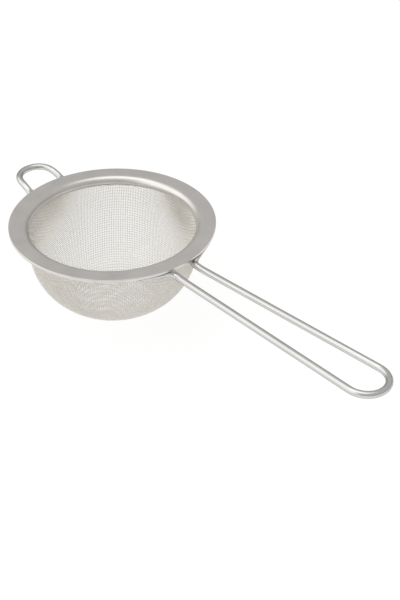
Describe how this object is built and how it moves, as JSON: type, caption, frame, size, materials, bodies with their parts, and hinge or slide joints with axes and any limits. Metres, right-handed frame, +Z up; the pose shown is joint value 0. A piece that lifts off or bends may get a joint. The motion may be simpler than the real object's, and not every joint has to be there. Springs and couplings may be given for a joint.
{
  "type": "tea strainer",
  "caption": "Round wire-mesh tea strainer with a wide flat metal rim, a long looped wire handle and a short wire rest loop opposite.",
  "frame": {"origin": "centre of the flat spot under the bowl, on the bowl's axis", "axes": "+Z up along the bowl's axis; +X from the bowl's axis towards the long handle; +Y completes a right-handed frame"},
  "size_m": [0.218, 0.092, 0.0453],
  "materials": {
    "rim_steel": "satin stainless steel, finely brushed, with a brighter rolled lip",
    "mesh_steel": "plain-weave stainless wire cloth",
    "wire_steel": "bright drawn stainless wire",
    "weld_steel": "spot-weld nuggets, slightly browned"
  },
  "bodies": {
    "root": {"rim_top_ring": "rim_steel", "rim_under_ring": "rim_steel", "mesh_bowl": "mesh_steel", "handle_wire": "wire_steel", "handle_spot_welds": "weld_steel", "rest_loop_wire": "wire_steel", "rest_loop_spot_welds": "weld_steel"}
  },
  "joints": []
}
